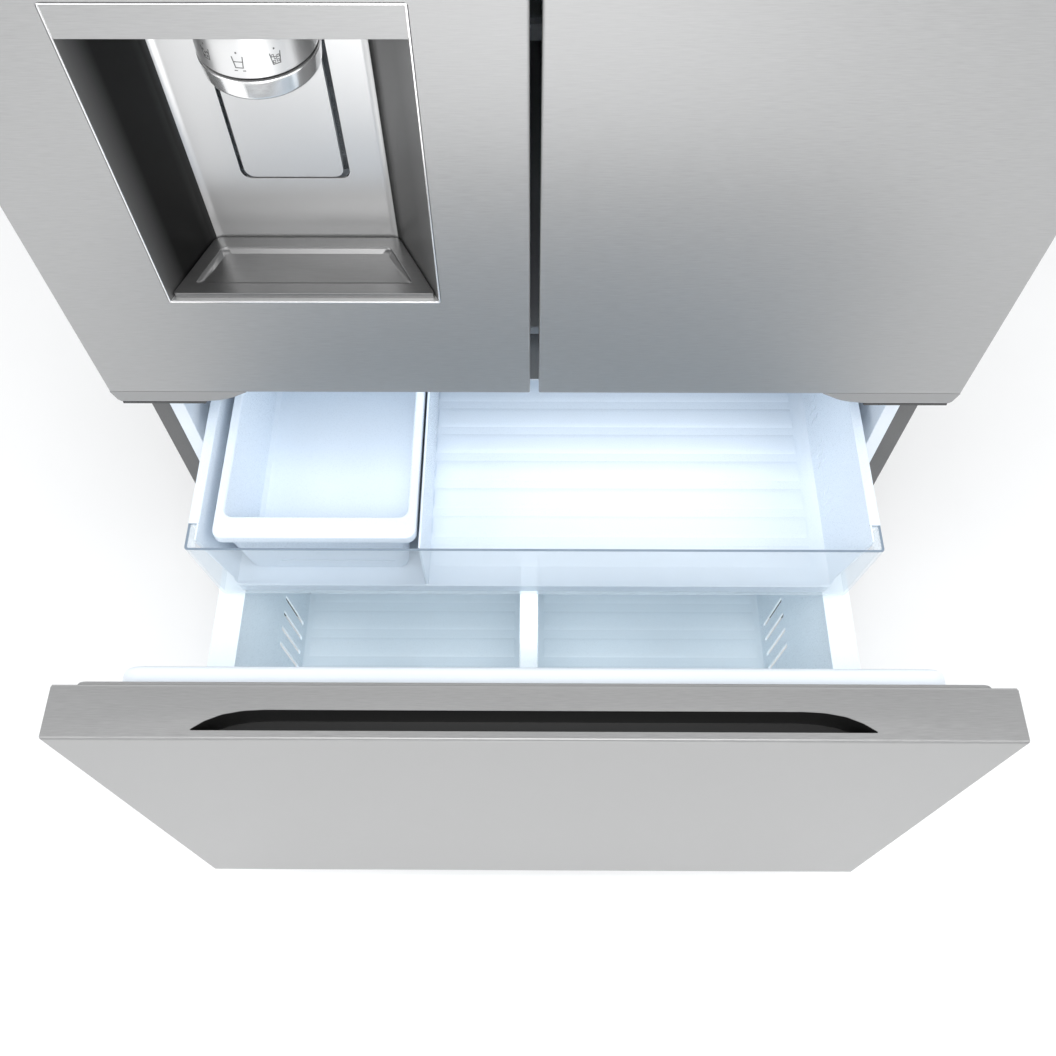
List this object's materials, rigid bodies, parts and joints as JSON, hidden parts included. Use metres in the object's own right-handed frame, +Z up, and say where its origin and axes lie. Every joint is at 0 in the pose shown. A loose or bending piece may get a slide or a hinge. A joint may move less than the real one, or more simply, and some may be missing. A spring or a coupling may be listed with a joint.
{
  "type": "french door refrigerator",
  "caption": "Stainless french door refrigerator with an in-door ice and water dispenser and a bottom freezer drawer holding a sliding upper tray.",
  "frame": {"origin": "on the floor under the middle of the whole box, doors closed and freezer drawer open", "axes": "+X to the right seen from the front, +Y from the doors to the back, +Z up"},
  "size_m": [0.908, 1.114, 1.772],
  "materials": {
    "stainless": "satin",
    "cabinet_paint": "satin",
    "plated_steel": "satin",
    "white_liner": "gloss",
    "white_bins": "gloss",
    "clear_plastic": "gloss",
    "shelf_pane": "gloss",
    "grey_trim": "matte",
    "dark_trim": "matte",
    "dispenser_metal": "satin",
    "foam": "matte",
    "black_steel": "satin",
    "coil_aluminium": "satin",
    "fan_plastic": "matte",
    "roller_plastic": "matte"
  },
  "bodies": {
    "cabinet": {"outer_wrapper": "cabinet_paint", "back_panel": "plated_steel", "service_cover": "cabinet_paint", "centre_rail": "cabinet_paint", "toe_grille": "dark_trim", "base_frame": "cabinet_paint", "fridge_liner": "white_liner", "freezer_liner": "white_liner", "insulation": "foam", "top_hinges": "plated_steel", "hinge_covers": "grey_trim", "middle_hinges": "plated_steel", "shelf_ladders": "grey_trim", "shelf_frames": "white_bins", "shelf_glass": "shelf_pane", "air_duct": "white_liner", "lamp_cover": "white_bins", "water_filter": "fan_plastic", "evaporator": "coil_aluminium", "evaporator_cover": "white_liner", "compressor": "black_steel", "condenser": "coil_aluminium", "drain_pan": "fan_plastic", "water_valve": "fan_plastic", "cabinet_rails": "plated_steel"},
    "left_door": {"left_door_panel": "stainless", "left_door_liner": "white_liner", "left_door_gasket": "grey_trim", "left_door_bins": "clear_plastic", "left_door_caps": "grey_trim", "dispenser_recess": "dispenser_metal", "nozzle_drum": "dispenser_metal", "drip_tray": "dark_trim", "ice_maker": "white_liner"},
    "right_door": {"right_door_panel": "stainless", "right_door_liner": "white_liner", "right_door_gasket": "grey_trim", "right_door_bins": "clear_plastic", "right_door_caps": "grey_trim"},
    "mullion_flap": {"mullion_flap": "dark_trim"},
    "dispenser_paddle": {"dispenser_paddle": "dispenser_metal"},
    "freezer_drawer": {"drawer_panel": "stainless", "handle_pocket": "dark_trim", "drawer_liner": "white_liner", "drawer_gasket": "grey_trim", "basket": "white_bins", "drawer_rails": "plated_steel"},
    "middle_rails": {"middle_rails": "plated_steel"},
    "tray_carriers": {"tray_carriers": "plated_steel"},
    "freezer_tray": {"tray": "white_bins", "tray_window": "clear_plastic", "freezer_ice_bin": "white_bins"},
    "crisper_left": {"crisper_left": "clear_plastic"},
    "crisper_right": {"crisper_right": "clear_plastic"},
    "rear_roller_left": {"rear_roller_left": "roller_plastic"},
    "rear_roller_right": {"rear_roller_right": "roller_plastic"},
    "levelling_leg_left": {"levelling_leg_left": "roller_plastic"},
    "levelling_leg_right": {"levelling_leg_right": "roller_plastic"},
    "evaporator_fan": {"evaporator_fan": "fan_plastic"},
    "condenser_fan": {"condenser_fan": "fan_plastic"}
  },
  "joints": [
    {"name": "left_door_hinge", "type": "hinge", "parent": "cabinet", "child": "left_door", "pos_m": [-0.436, -0.153, 1.2], "axis": [0, 0, -1], "range_deg": [0, 125]},
    {"name": "right_door_hinge", "type": "hinge", "parent": "cabinet", "child": "right_door", "pos_m": [0.436, -0.153, 1.2], "axis": [0, 0, 1], "range_deg": [0, 125]},
    {"name": "flap_hinge", "type": "hinge", "parent": "left_door", "child": "mullion_flap", "pos_m": [-0.036, -0.107, 1.2], "axis": [0, 0, -1], "range_deg": [0, 90]},
    {"name": "paddle_hinge", "type": "hinge", "parent": "left_door", "child": "dispenser_paddle", "pos_m": [-0.219, -0.103, 1.08], "axis": [1, 0, 0], "range_deg": [0, 5], "stiffness_Nm_per_rad": 0.4},
    {"name": "drawer_slide", "type": "slide", "parent": "cabinet", "child": "freezer_drawer", "axis": [0, -1, 0], "range_m": [-0.374, 0.056]},
    {"name": "middle_rail_slide", "type": "slide", "parent": "cabinet", "child": "middle_rails", "axis": [0, -1, 0], "range_m": [-0.187, 0.028]},
    {"name": "tray_carrier_slide", "type": "slide", "parent": "cabinet", "child": "tray_carriers", "axis": [0, -1, 0], "range_m": [-0.205, 0.0308]},
    {"name": "tray_slide", "type": "slide", "parent": "tray_carriers", "child": "freezer_tray", "axis": [0, -1, 0], "range_m": [0, 0.12]},
    {"name": "crisper_left_slide", "type": "slide", "parent": "cabinet", "child": "crisper_left", "axis": [0, -1, 0], "range_m": [0, 0.05]},
    {"name": "crisper_right_slide", "type": "slide", "parent": "cabinet", "child": "crisper_right", "axis": [0, -1, 0], "range_m": [0, 0.05]},
    {"name": "roller_left_spin", "type": "hinge", "parent": "cabinet", "child": "rear_roller_left", "pos_m": [-0.392, 0.485, 0.025], "axis": [1, 0, 0], "continuous": true},
    {"name": "roller_right_spin", "type": "hinge", "parent": "cabinet", "child": "rear_roller_right", "pos_m": [0.392, 0.485, 0.025], "axis": [1, 0, 0], "continuous": true},
    {"name": "leg_left_turn", "type": "hinge", "parent": "cabinet", "child": "levelling_leg_left", "pos_m": [-0.384, -0.051, 0.03], "axis": [0, 0, 1], "continuous": true},
    {"name": "leg_right_turn", "type": "hinge", "parent": "cabinet", "child": "levelling_leg_right", "pos_m": [0.384, -0.051, 0.03], "axis": [0, 0, 1], "continuous": true},
    {"name": "evaporator_fan_spin", "type": "hinge", "parent": "cabinet", "child": "evaporator_fan", "pos_m": [0, 0.43, 0.565], "axis": [0, 1, 0], "continuous": true},
    {"name": "condenser_fan_spin", "type": "hinge", "parent": "cabinet", "child": "condenser_fan", "pos_m": [-0.06, 0.442, 0.167], "axis": [1, 0, 0], "continuous": true}
  ],
  "couplings": [
    {"joint": "middle_rail_slide", "follows": "drawer_slide", "ratio": 0.5},
    {"joint": "tray_carrier_slide", "follows": "drawer_slide", "ratio": 0.54813}
  ]
}
